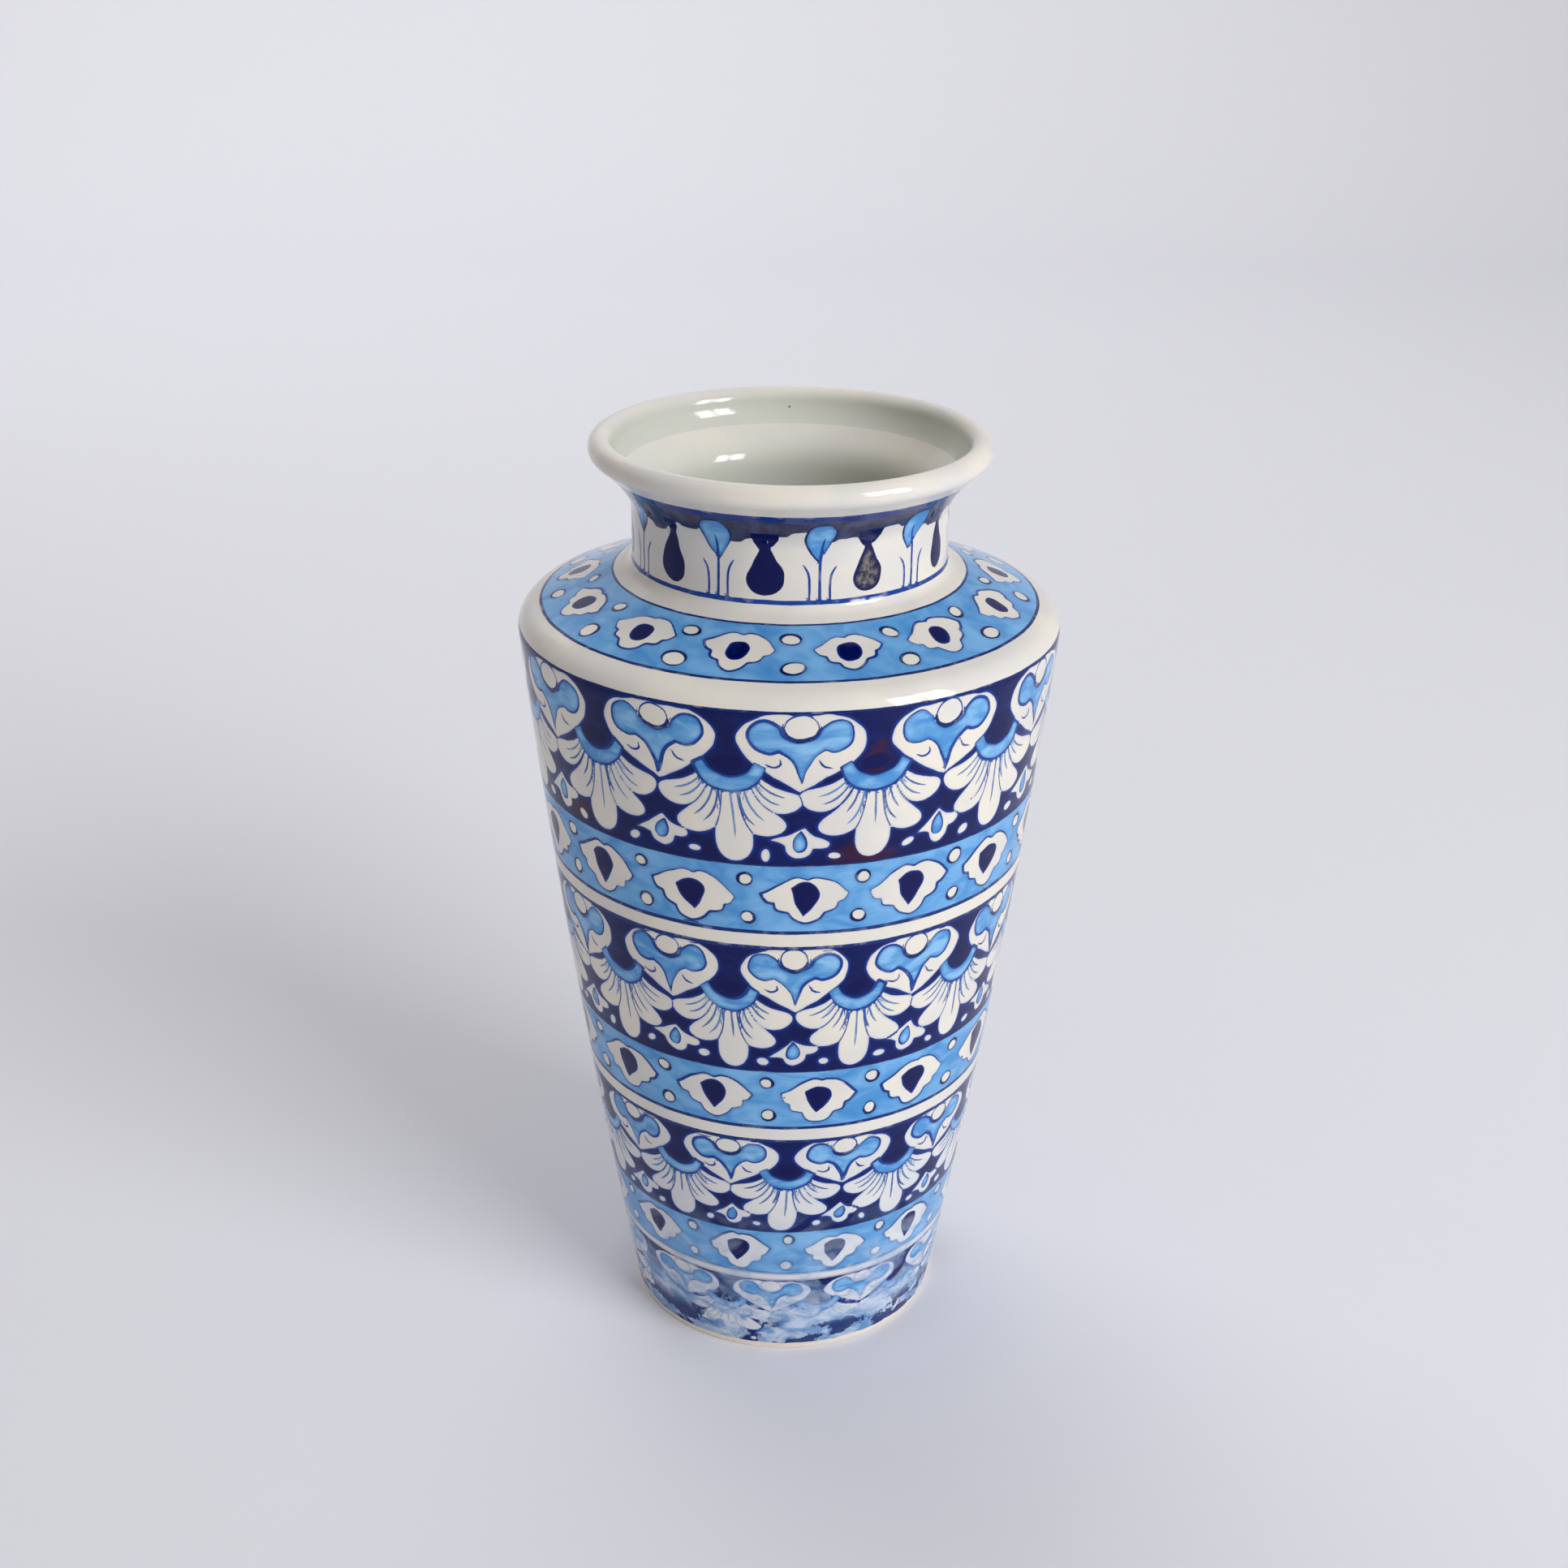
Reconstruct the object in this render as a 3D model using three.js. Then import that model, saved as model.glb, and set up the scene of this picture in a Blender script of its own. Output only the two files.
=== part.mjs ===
// A hand-painted, tin-glazed earthenware vase, in millimetres, +Z up. It stands on z = 0 with its axis on Z.
// It is thrown in sections that are luted together with slip: each section's top edge has a V groove, the
// next section's bottom edge has a V tongue, and a thin ring of slip fills the joint between them.
import * as THREE from "three";

// Body
const FOOT_RADIUS = 59.6; // outside, at the table
const BODY_HEIGHT = 281; // table to the top of the wall, where it is widest
const SHOULDER_RADIUS = 97.9; // outside, at the top of the wall
const WALL_BULGE = 2.8; // how far the wall bows out of a straight cone
const WALL = 7; // thickness, with its glaze
const FLOOR = 8; // thickness, with its glaze
const FLOOR_FILLET = 8; // inside, where the floor turns up into the wall

// Shoulder
const SHOULDER_EDGE = 9; // radius of the rounded edge between wall and shoulder
const SHOULDER_SLOPE = THREE.MathUtils.degToRad(22); // from level

// Neck and lip
const NECK_RADIUS = 56.6; // outside
const NECK_ROOT = 5; // radius of the hollow where the shoulder turns up into the neck
const NECK_HEIGHT = 17; // the straight stretch, from the root to the flare
const FLARE_HEIGHT = 21.6; // from the start of the flare to the middle of the lip's roll
const LIP_OVERHANG = 14.8; // the lip's outside radius beyond the neck's
const LIP_ROLL = 4.3; // radius of the rolled lip
const ROLL_UNDERSIDE = THREE.MathUtils.degToRad(-50); // where the flare runs into the roll

// Foot
const FOOT_RING_HEIGHT = 5;
const FOOT_RING_WIDTH = 9.6;
const FOOT_CHAMFER = 0.8; // on the ring's outer edge

// Joints
const SLIP = 1; // thickness of the slip in a joint
const CLEARANCE = 0.3; // between the slip and each section that it joins
const GROOVE = 2; // depth of the V groove
const DISH_JOINT_HEIGHT = 23; // edge of the base dish, above the table
const WALL_JOINT_HEIGHT = 195.3; // joint between the two wall sections, above the table
const SHOULDER_JOINT_DROP = 2; // joint between wall and shoulder, below the widest point
const NECK_JOINT_RISE = 2.5; // joint between shoulder and neck, above the neck's root
const LIP_JOINT_DROP = 8; // joint under the lip, below the middle of its roll

const SIDES = 36; // facets round each ring

const point = (r, z) => new THREE.Vector2(r, z);

// Points along an arc about (r, z), from one angle to another.
function arc(r, z, radius, from, to, steps) {
  return Array.from({ length: steps + 1 }, (_, i) => {
    const angle = from + ((to - from) * i) / steps;
    return point(r + radius * Math.cos(angle), z + radius * Math.sin(angle));
  });
}

// The wall's outside: a straight cone from foot to shoulder, bowed out by the bulge at mid height.
function wallOutline() {
  const steps = 6;
  return Array.from({ length: steps + 1 }, (_, i) => {
    const share = i / steps;
    const bow = 4 * WALL_BULGE * share * (1 - share);
    return point(THREE.MathUtils.lerp(FOOT_RADIUS, SHOULDER_RADIUS, share) + bow, BODY_HEIGHT * share);
  });
}

// The shoulder's outside: rounded edge, straight slope, and the hollow that turns up into the neck.
function shoulderOutline() {
  const edgeAngle = Math.PI / 2 - SHOULDER_SLOPE;
  const edge = arc(SHOULDER_RADIUS - SHOULDER_EDGE, BODY_HEIGHT, SHOULDER_EDGE, 0, edgeAngle, 3).slice(1);
  const slopeStart = edge[edge.length - 1];
  const rootMiddle = NECK_RADIUS + NECK_ROOT;
  const slopeEnd = rootMiddle - NECK_ROOT * Math.cos(edgeAngle);
  const rise = (slopeStart.x - slopeEnd) * Math.tan(SHOULDER_SLOPE);
  const rootHeight = slopeStart.y + rise + NECK_ROOT * Math.sin(edgeAngle);
  return [...edge, ...arc(rootMiddle, rootHeight, NECK_ROOT, Math.PI + edgeAngle, Math.PI, 3)];
}

const shoulderLine = shoulderOutline();
const NECK_BASE = shoulderLine[shoulderLine.length - 1].y;
const FLARE_START = NECK_BASE + NECK_HEIGHT;
const ROLL_MIDDLE = point(NECK_RADIUS + LIP_OVERHANG - LIP_ROLL, FLARE_START + FLARE_HEIGHT);

// The neck's outside above its root: straight stretch, flare, and the lip's roll up to its crown.
function lipOutline() {
  const roll = arc(ROLL_MIDDLE.x, ROLL_MIDDLE.y, LIP_ROLL, ROLL_UNDERSIDE, Math.PI / 2, 5);
  const outward = roll[0].x - NECK_RADIUS;
  const bend = point(NECK_RADIUS, roll[0].y - outward * Math.tan(Math.PI / 2 + ROLL_UNDERSIDE));
  const flare = new THREE.QuadraticBezierCurve(point(NECK_RADIUS, FLARE_START), bend, roll[0]);
  return [...flare.getPoints(3).slice(0, -1), ...roll];
}

// A rising line moved inward by the wall's thickness.
function movedIn(line) {
  return line.map((p, i) => {
    const before = line[Math.max(i - 1, 0)];
    const after = line[Math.min(i + 1, line.length - 1)];
    const along = after.clone().sub(before).normalize();
    return point(p.x - along.y * WALL, p.y + along.x * WALL);
  });
}

// The inside: floor, fillet, wall, shoulder and neck at the wall's thickness, and the throat up to the crown.
function insideOutline(outside) {
  const floorTop = FOOT_JOINT.above + FLOOR;
  const lining = movedIn(outside.filter((p) => p.y <= FLARE_START));
  const wallStart = at(lining, floorTop + FLOOR_FILLET);
  const side = lining.filter((p) => p.y > wallStart.y);
  const fillet = arc(wallStart.x - FLOOR_FILLET, wallStart.y, FLOOR_FILLET, -Math.PI / 2, 0, 3);
  const neckTop = side[side.length - 1];
  const roll = arc(ROLL_MIDDLE.x, ROLL_MIDDLE.y, LIP_ROLL, Math.PI, Math.PI / 2, 3);
  const throat = new THREE.CubicBezierCurve(
    neckTop,
    point(neckTop.x, neckTop.y + FLARE_HEIGHT / 2),
    point(roll[0].x, roll[0].y - FLARE_HEIGHT / 2),
    roll[0],
  );
  return [point(0, floorTop), ...fillet, ...side.slice(0, -1), ...throat.getPoints(4), ...roll.slice(1)];
}

// The point of a rising line at this height.
function at(line, z) {
  const i = line.findIndex((p) => p.y > z);
  return line[i - 1].clone().lerp(line[i], (z - line[i - 1].y) / (line[i].y - line[i - 1].y));
}

// The stretch of a rising line from one height to another, or to its end.
function between(line, low, high = Infinity) {
  const inner = line.filter((p) => p.y > low && p.y < high);
  const end = high === Infinity ? [] : [at(line, high)];
  return [at(line, low), ...inner, ...end];
}

// A joint's heights: the section below ends, the slip's two faces, and the section above begins.
function joint(middle) {
  const slipBottom = middle - SLIP / 2;
  const slipTop = middle + SLIP / 2;
  return { below: slipBottom - CLEARANCE, slipBottom, slipTop, above: slipTop + CLEARANCE };
}

const FOOT_JOINT = joint(FOOT_RING_HEIGHT + CLEARANCE + SLIP / 2);
const DISH_JOINT = joint(DISH_JOINT_HEIGHT);
const WALL_JOINT = joint(WALL_JOINT_HEIGHT);
const SHOULDER_JOINT = joint(BODY_HEIGHT - SHOULDER_JOINT_DROP);
const NECK_JOINT = joint(NECK_BASE + NECK_JOINT_RISE);
const LIP_JOINT = joint(ROLL_MIDDLE.y - LIP_JOINT_DROP);

const outside = [...wallOutline(), ...shoulderLine, ...lipOutline()];
const inside = insideOutline(outside);

// The bottom of the V across the wall's edge at this height, in the middle of the wall.
const groove = (z) => at(outside, z - GROOVE).lerp(at(inside, z - GROOVE), 0.5);

// A ring of wall between two heights, with a V tongue below and a V groove above.
function wallRing(low, high) {
  return [...between(outside, low, high), groove(high), ...between(inside, low, high).reverse(), groove(low)];
}

const section = (from, to) => wallRing(from.above, to.below);
const slipRing = ({ slipBottom, slipTop }) => wallRing(slipBottom, slipTop);

const FOOT_BORE = FOOT_RADIUS - FOOT_RING_WIDTH;

function footRing() {
  const top = at(outside, FOOT_JOINT.below);
  return [
    point(FOOT_BORE, 0),
    point(FOOT_RADIUS - FOOT_CHAMFER, 0),
    at(outside, FOOT_CHAMFER),
    top,
    point(FOOT_BORE, top.y),
  ];
}

function footSlip() {
  const bottom = at(outside, FOOT_JOINT.slipBottom);
  const top = at(outside, FOOT_JOINT.slipTop);
  return [point(FOOT_BORE, bottom.y), bottom, top, point(FOOT_BORE, top.y)];
}

// The dish that carries the wall: floor, inside fillet and a short upturned edge.
function baseDish() {
  const edge = between(outside, FOOT_JOINT.above, DISH_JOINT.below);
  const hollow = [...inside.filter((p) => p.y < DISH_JOINT.below), at(inside, DISH_JOINT.below)];
  return [point(0, FOOT_JOINT.above), ...edge, groove(DISH_JOINT.below), ...hollow.reverse()];
}

// The lip: its outside and inside meet at the crown.
function lip() {
  const throat = between(inside, LIP_JOINT.above).slice(0, -1).reverse();
  return [...between(outside, LIP_JOINT.above), ...throat, groove(LIP_JOINT.above)];
}

const glazedClay = new THREE.MeshStandardMaterial({ color: 0x5f95cf, roughness: 0.12, metalness: 0 });
const whiteGlazedClay = new THREE.MeshStandardMaterial({ color: 0xdcdad4, roughness: 0.12, metalness: 0 });
const bareClay = new THREE.MeshStandardMaterial({ color: 0xd9c3a4, roughness: 0.85, metalness: 0 });
const driedSlip = new THREE.MeshStandardMaterial({ color: 0xc9a583, roughness: 0.9, metalness: 0 });

const vase = new THREE.Group();

// Turns a profile about the axis. A profile that starts on the axis ends there too, and any other is closed.
function add(name, profile, material) {
  const closed = profile[0].x === 0 ? profile : [...profile, profile[0].clone()];
  const mesh = new THREE.Mesh(new THREE.LatheGeometry(closed, SIDES), material);
  mesh.geometry.rotateX(Math.PI / 2);
  mesh.name = name;
  vase.add(mesh);
}

add("foot_ring", footRing(), bareClay);
add("foot_slip", footSlip(), driedSlip);
add("base_dish", baseDish(), glazedClay);
add("dish_slip", slipRing(DISH_JOINT), driedSlip);
add("lower_wall", section(DISH_JOINT, WALL_JOINT), glazedClay);
add("wall_slip", slipRing(WALL_JOINT), driedSlip);
add("upper_wall", section(WALL_JOINT, SHOULDER_JOINT), glazedClay);
add("shoulder_slip", slipRing(SHOULDER_JOINT), driedSlip);
add("shoulder", section(SHOULDER_JOINT, NECK_JOINT), glazedClay);
add("neck_slip", slipRing(NECK_JOINT), driedSlip);
add("neck_collar", section(NECK_JOINT, LIP_JOINT), whiteGlazedClay);
add("lip_slip", slipRing(LIP_JOINT), driedSlip);
add("lip", lip(), whiteGlazedClay);

export default vase;
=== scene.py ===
# A hand-painted, tin-glazed earthenware vase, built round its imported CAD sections.
import math
import bpy
import numpy as np
from mathutils import Matrix, Vector


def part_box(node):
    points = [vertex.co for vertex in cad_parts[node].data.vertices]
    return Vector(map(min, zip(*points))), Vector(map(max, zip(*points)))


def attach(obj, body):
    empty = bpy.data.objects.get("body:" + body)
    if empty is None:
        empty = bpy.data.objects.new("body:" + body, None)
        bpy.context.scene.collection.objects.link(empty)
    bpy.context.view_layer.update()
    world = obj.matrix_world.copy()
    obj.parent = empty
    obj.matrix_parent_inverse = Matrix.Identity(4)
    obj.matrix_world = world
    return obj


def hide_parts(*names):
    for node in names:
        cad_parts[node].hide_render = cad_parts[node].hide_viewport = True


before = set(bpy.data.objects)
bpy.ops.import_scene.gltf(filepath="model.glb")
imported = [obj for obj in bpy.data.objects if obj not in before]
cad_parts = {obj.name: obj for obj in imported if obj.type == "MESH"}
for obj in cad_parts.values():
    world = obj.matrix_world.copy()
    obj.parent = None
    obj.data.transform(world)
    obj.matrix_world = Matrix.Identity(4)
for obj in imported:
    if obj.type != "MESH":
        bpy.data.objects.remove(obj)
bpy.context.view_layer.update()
rng = np.random.default_rng(12)
MM = 0.001
TURN = 2 * math.pi

# ---------------------------------------------------------------- sizes, in millimetres
FOOT_RADIUS = 59.6
WALL_BULGE = 2.8
WALL = 7.0
FLOOR = 8.0
FLOOR_FILLET = 8.0
SHOULDER_EDGE = 9.0
SHOULDER_SLOPE = math.radians(22)
NECK_ROOT = 5.0
NECK_HEIGHT = 17.0
LIP_ROLL = 4.3
ROLL_UNDERSIDE = math.radians(-50)
FOOT_RING_WIDTH = 9.6
FOOT_EDGE = 0.8  # radius of the foot ring's lower edges
SLIP = 1.0
GROOVE = 2.0
SHOULDER_JOINT_DROP = 2.0
FLOOR_COLOUR = (0.79, 0.79, 0.83, 1)
UNEVEN = 0.22  # how far the turned surface strays inward
RIM_SAG = 0.15  # half of the rim's largest dip
CELL = 0.7  # of the painted surface's mesh


def top_of(node):
    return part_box(node)[1].z / MM


def radius_of(node):
    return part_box(node)[1].x / MM


# A slip ring's upper face is half its thickness above the joint's middle.
DISH_SEAM = top_of("dish_slip") - SLIP / 2
WALL_SEAM = top_of("wall_slip") - SLIP / 2
SHOULDER_SEAM = top_of("shoulder_slip") - SLIP / 2
NECK_SEAM = top_of("neck_slip") - SLIP / 2
LIP_SEAM = top_of("lip_slip") - SLIP / 2
FOOT_SEAM = top_of("foot_slip")
FLOOR_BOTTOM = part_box("base_dish")[0].z / MM
BODY_HEIGHT = SHOULDER_SEAM + SHOULDER_JOINT_DROP
SHOULDER_RADIUS = radius_of("shoulder")
NECK_RADIUS = radius_of("neck_slip")
LIP_RADIUS = radius_of("lip")
TOP = top_of("lip")


# ---------------------------------------------------------------- the turned outline
def arc(r, z, radius, start, end, steps):
    angle = np.linspace(start, end, steps + 1)
    return np.stack([r + radius * np.cos(angle), z + radius * np.sin(angle)], axis=1)


EDGE_ANGLE = math.pi / 2 - SHOULDER_SLOPE
SLOPE_RUN = SHOULDER_RADIUS - SHOULDER_EDGE * (1 - math.cos(EDGE_ANGLE)) - (
    NECK_RADIUS + NECK_ROOT * (1 - math.cos(EDGE_ANGLE)))
NECK_BASE = (BODY_HEIGHT + (SHOULDER_EDGE + NECK_ROOT) * math.sin(EDGE_ANGLE)
             + SLOPE_RUN * math.tan(SHOULDER_SLOPE))


def outer_outline():
    """The outside from the table to the crown of the lip, as (radius, height)."""
    share = np.linspace(0, 1, 400)
    bow = 4 * WALL_BULGE * share * (1 - share)
    wall_r = FOOT_RADIUS + (SHOULDER_RADIUS - FOOT_RADIUS) * share + bow
    wall = np.stack([wall_r, BODY_HEIGHT * share], axis=1)
    edge = arc(SHOULDER_RADIUS - SHOULDER_EDGE, BODY_HEIGHT, SHOULDER_EDGE, 0, EDGE_ANGLE, 40)
    root = arc(NECK_RADIUS + NECK_ROOT, NECK_BASE, NECK_ROOT, math.pi + EDGE_ANGLE, math.pi, 20)
    roll = arc(LIP_RADIUS - LIP_ROLL, TOP - LIP_ROLL, LIP_ROLL, ROLL_UNDERSIDE, math.pi / 2, 60)
    flare_start = np.array([NECK_RADIUS, NECK_BASE + NECK_HEIGHT])
    outward = roll[0, 0] - NECK_RADIUS
    bend = np.array([NECK_RADIUS, roll[0, 1] - outward * math.tan(math.pi / 2 + ROLL_UNDERSIDE)])
    t = np.linspace(0, 1, 60)[:-1, None]
    flare = (1 - t) ** 2 * flare_start + 2 * t * (1 - t) * bend + t ** 2 * roll[0]
    return np.concatenate([wall, edge[1:], root, flare, roll])


OUTER = outer_outline()
ALONG = np.concatenate([[0], np.cumsum(np.hypot(*np.diff(OUTER, axis=0).T))])


def along(z):
    """Distance along the outside, from the table up to this height."""
    return np.interp(z, OUTER[:, 1], ALONG)


def outer_at(s):
    return np.stack([np.interp(s, ALONG, OUTER[:, 0]), np.interp(s, ALONG, OUTER[:, 1])], axis=1)


def inner_outline():
    """The inside from the floor's edge up to the crown of the lip."""
    outside = OUTER[OUTER[:, 1] <= NECK_BASE + NECK_HEIGHT + 1e-6]
    ahead = np.gradient(outside, axis=0)
    ahead /= np.hypot(*ahead.T)[:, None]
    lining = outside + WALL * np.stack([-ahead[:, 1], ahead[:, 0]], axis=1)
    start_z = FLOOR_BOTTOM + FLOOR + FLOOR_FILLET
    side = lining[lining[:, 1] > start_z]
    start_r = side[0, 0]
    fillet = arc(start_r - FLOOR_FILLET, start_z, FLOOR_FILLET, -math.pi / 2, 0, 12)
    roll = arc(LIP_RADIUS - LIP_ROLL, TOP - LIP_ROLL, LIP_ROLL, math.pi, math.pi / 2, 24)
    neck, lip = side[-1], roll[0]
    reach = np.array([0, (lip[1] - neck[1]) / 2])
    t = np.linspace(0, 1, 40)[1:-1, None]
    throat = (1 - t) ** 3 * neck + 3 * t * (1 - t) ** 2 * (neck + reach)
    throat = throat + 3 * t ** 2 * (1 - t) * (lip - reach) + t ** 3 * lip
    return np.concatenate([fillet, side, throat, roll])


INNER = inner_outline()


def stretch(line, low, high, step):
    """Evenly spaced points of a rising line between two heights."""
    lengths = np.concatenate([[0], np.cumsum(np.hypot(*np.diff(line, axis=0).T))])
    a, b = np.interp([low, high], line[:, 1], lengths)
    at = np.linspace(a, b, max(2, int(round((b - a) / step)) + 1))
    return np.stack([np.interp(at, lengths, line[:, 0]), np.interp(at, lengths, line[:, 1])], axis=1)


# ---------------------------------------------------------------- brush shapes, in millimetres
def smooth(points, corners=(), closed=True, steps=6):
    """A smooth line through the points, with a sharp turn at the numbered corners."""
    p = np.asarray(points, float)
    n = len(p)
    out = []
    for i in range(n if closed else n - 1):
        a, b = p[i], p[(i + 1) % n]
        before = p[i - 1] if (closed or i > 0) else a
        after = p[(i + 2) % n] if (closed or i < n - 2) else b
        go = b - a if i in corners else b - before
        come = b - a if (i + 1) % n in corners else after - a
        span = np.hypot(*(b - a))
        go = go / (np.hypot(*go) + 1e-9) * span
        come = come / (np.hypot(*come) + 1e-9) * span
        t = np.linspace(0, 1, steps, endpoint=False)[:, None]
        out.append((2 * t ** 3 - 3 * t ** 2 + 1) * a + (t ** 3 - 2 * t ** 2 + t) * go
                   + (3 * t ** 2 - 2 * t ** 3) * b + (t ** 3 - t ** 2) * come)
    if not closed:
        out.append(p[-1:])
    return np.concatenate(out)


def oval(x, y, width, height, tilt=0.0, steps=20):
    angle = np.linspace(0, TURN, steps, endpoint=False)
    u, v = width / 2 * np.cos(angle), height / 2 * np.sin(angle)
    c, s = math.cos(tilt), math.sin(tilt)
    return np.stack([x + c * u - s * v, y + s * u + c * v], axis=1)


def petal_sides(base, tip, width, bend):
    """A petal's middle line, the direction across it, and its half width."""
    base, tip = np.array(base, float), np.array(tip, float)
    t = np.sin(np.linspace(0, math.pi / 2, 15))[:, None]
    ahead = tip - base
    across = np.array([-ahead[1], ahead[0]]) / np.hypot(*ahead)
    middle = base + t * ahead + bend * np.sin(math.pi * t) * across
    half = width / 2 * (0.34 + 0.8 * t) * np.sqrt(1 - t ** 4)
    return middle, across, half


def petal(base, tip, width, bend):
    middle, across, half = petal_sides(base, tip, width, bend)
    return np.concatenate([middle + half * across, (middle - half * across)[::-1]])


def hand(points, amount=0.3, turn=0.03, grow=0.04):
    """The same shape as a hand would paint it again: a little turned, resized and unsteady."""
    p = np.asarray(points, float)
    middle = p.mean(axis=0)
    angle = rng.normal(0, turn)
    size = 1 + rng.normal(0, grow, 2)
    c, s = math.cos(angle), math.sin(angle)
    q = (p - middle) * size @ np.array([[c, s], [-s, c]]) + middle
    phase = rng.uniform(0, TURN, 4)
    q[:, 0] += amount * (np.sin(q[:, 1] * 0.35 + phase[0]) + 0.5 * np.sin(q[:, 1] * 0.9 + phase[1]))
    q[:, 1] += amount * (np.sin(q[:, 0] * 0.35 + phase[2]) + 0.5 * np.sin(q[:, 0] * 0.9 + phase[3]))
    return q


# ---------------------------------------------------------------- painting on the mesh
FIELDS = ["white", "light", "disc", "dark", "navy_ground", "blue_ground", "wash", "mottle", "burn"]
FAR = -3.0  # a field's value well outside its shapes, in millimetres
PARTING = 0.7  # white shapes closer than this have a line between them
SHARP_PARTING = (0.75, 0.35)  # a parting line's half width and tone
FAINT_PARTING = (0.26, 0.6)
LINE_REACH = 0.5  # how far past a line's edge its field still counts
FALL = 6  # how steeply the field falls beyond that
FILL_MARGIN = 3.2  # how far round a shape its field is worked out
LINE_MARGIN = 2.5  # and round a line


class Canvas:
    """The outside of one section as a grid of points, with a distance field for each kind of paint."""

    def __init__(self, s, columns):
        self.s = s
        self.r = outer_at(s)[:, 0]
        self.angle = np.arange(columns) * TURN / columns - math.pi
        shape = (len(s), columns)
        self.fields = {name: np.full(shape, FAR) for name in FIELDS}
        self.fields["line"] = np.full(shape, -FAR)
        self.fields["line_half"] = np.full(shape, FAR)
        self.fields["tone"] = np.zeros(shape)

    def window(self, shape, angle, s, margin):
        """The rows and columns round a shape, and each point's place in the shape's own millimetres."""
        low, high = shape.min(axis=0) - margin, shape.max(axis=0) + margin
        rows = np.nonzero((self.s >= s + low[1]) & (self.s <= s + high[1]))[0]
        if len(rows) == 0:
            return None
        turn = (self.angle - angle + math.pi) % TURN - math.pi
        small = self.r[rows].min()
        columns = np.nonzero((turn * small >= low[0]) & (turn * small <= high[0]))[0]
        if len(columns) == 0:
            return None
        x = turn[columns][None, :] * self.r[rows][:, None]
        y = np.broadcast_to((self.s[rows] - s)[:, None], x.shape)
        return np.ix_(rows, columns), x, y

    def fill(self, name, outline, angle, s, parting):
        """A painted shape. parting is the half width and tone of its line beside other white shapes."""
        found = self.window(outline, angle, s, FILL_MARGIN)
        if found is None:
            return
        where, x, y = found
        a = outline
        b = np.roll(outline, -1, axis=0)
        e = b - a
        vx, vy = x[..., None] - a[:, 0], y[..., None] - a[:, 1]
        t = np.clip((vx * e[:, 0] + vy * e[:, 1]) / (e ** 2).sum(axis=1).clip(1e-9), 0, 1)
        gap = np.sqrt(((vx - t * e[:, 0]) ** 2 + (vy - t * e[:, 1]) ** 2).min(axis=-1))
        level = y[..., None]
        crosses = (a[:, 1] <= level) != (b[:, 1] <= level)
        rise = np.where(np.abs(e[:, 1]) < 1e-9, 1e-9, e[:, 1])
        right = x[..., None] < a[:, 0] + (level - a[:, 1]) * e[:, 0] / rise
        inside = (crosses & right).sum(axis=-1) % 2 == 1
        field = self.fields[name]
        distance = np.where(inside, gap, -gap).clip(FAR)
        if name == "white":
            self.part(where, distance, field[where], *parting)
        field[where] = np.maximum(field[where], distance)
        if name == "light":
            half = self.fields["line_half"]
            half[where] = np.where(distance > 0, FAR, half[where])

    def part(self, where, new, old, half, tone):
        """A thin line where a white shape meets one that is already there."""
        meet = (new > -PARTING) & (old > -PARTING)
        gap = (new - old) / 2
        wide = np.where(meet, half - FALL * (np.abs(gap) - half - LINE_REACH).clip(0), FAR)
        self.lay(where, gap, wide, tone)

    def line(self, path, half, tone, angle, s):
        """A brushed line. half is its half width at each point of the path."""
        found = self.window(path, angle, s, LINE_MARGIN)
        if found is None:
            return
        where, x, y = found
        a, e = path[:-1], np.diff(path, axis=0)
        vx, vy = x[..., None] - a[:, 0], y[..., None] - a[:, 1]
        t = np.clip((vx * e[:, 0] + vy * e[:, 1]) / (e ** 2).sum(axis=1).clip(1e-9), 0, 1)
        gaps = np.hypot(vx - t * e[:, 0], vy - t * e[:, 1])
        nearest = gaps.argmin(axis=-1)[..., None]
        gap = np.take_along_axis(gaps, nearest, -1)[..., 0]
        side = np.take_along_axis(e[:, 0] * vy - e[:, 1] * vx, nearest, -1)[..., 0]
        share = np.take_along_axis(t, nearest, -1)[..., 0]
        k = nearest[..., 0]
        wide = half[k] * (1 - share) + half[k + 1] * share
        wide = wide - FALL * (gap - wide - LINE_REACH).clip(0)
        self.lay(where, np.where(side > 0, gap, -gap), wide, tone)

    def lay(self, where, gap, half, tone):
        fields = self.fields
        nearer = half - np.abs(gap) > fields["line_half"][where] - np.abs(fields["line"][where])
        for name, value in (("line", gap), ("line_half", half.clip(FAR)), ("tone", tone)):
            fields[name][where] = np.where(nearer, value, fields[name][where])

    def band(self, name, low, high, waver):
        """A painted band between two distances along the outside."""
        s = self.s[:, None]
        inside = np.minimum(s - low - waver(self.angle), high + waver(self.angle + 1) - s)
        self.fields[name] = np.maximum(self.fields[name], inside.clip(FAR))

    def ring(self, at, half, tone, waver):
        """A brushed line all round."""
        gap = self.s[:, None] - at - waver(self.angle)
        wide = half * (1 + 0.5 * waver(2 * self.angle + 1)) * np.ones_like(gap)
        wide = wide - FALL * (np.abs(gap) - wide - LINE_REACH).clip(0)
        self.lay(np.ix_(np.arange(len(self.s)), np.arange(len(self.angle))), gap, wide, tone)


def waver(amount):
    """An unsteady hand's wander as the wheel turns: a smooth function of the angle, closed on itself."""
    counts = (1, 2, 3, 5, 8, 13, 21, 34)
    waves = [(k, rng.normal(0, amount / math.sqrt(k)), rng.uniform(0, TURN)) for k in counts]
    return lambda angle: sum(size * np.sin(k * angle + phase) for k, size, phase in waves)


canvases = []
steady = waver(0.10)
DARK, COBALT = 0.0, 0.5  # tones of a brushed line, up to 1 for the palest


def fill(name, outline, angle, s, parting=SHARP_PARTING):
    for canvas in canvases:
        canvas.fill(name, outline, angle, s, parting)


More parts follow.
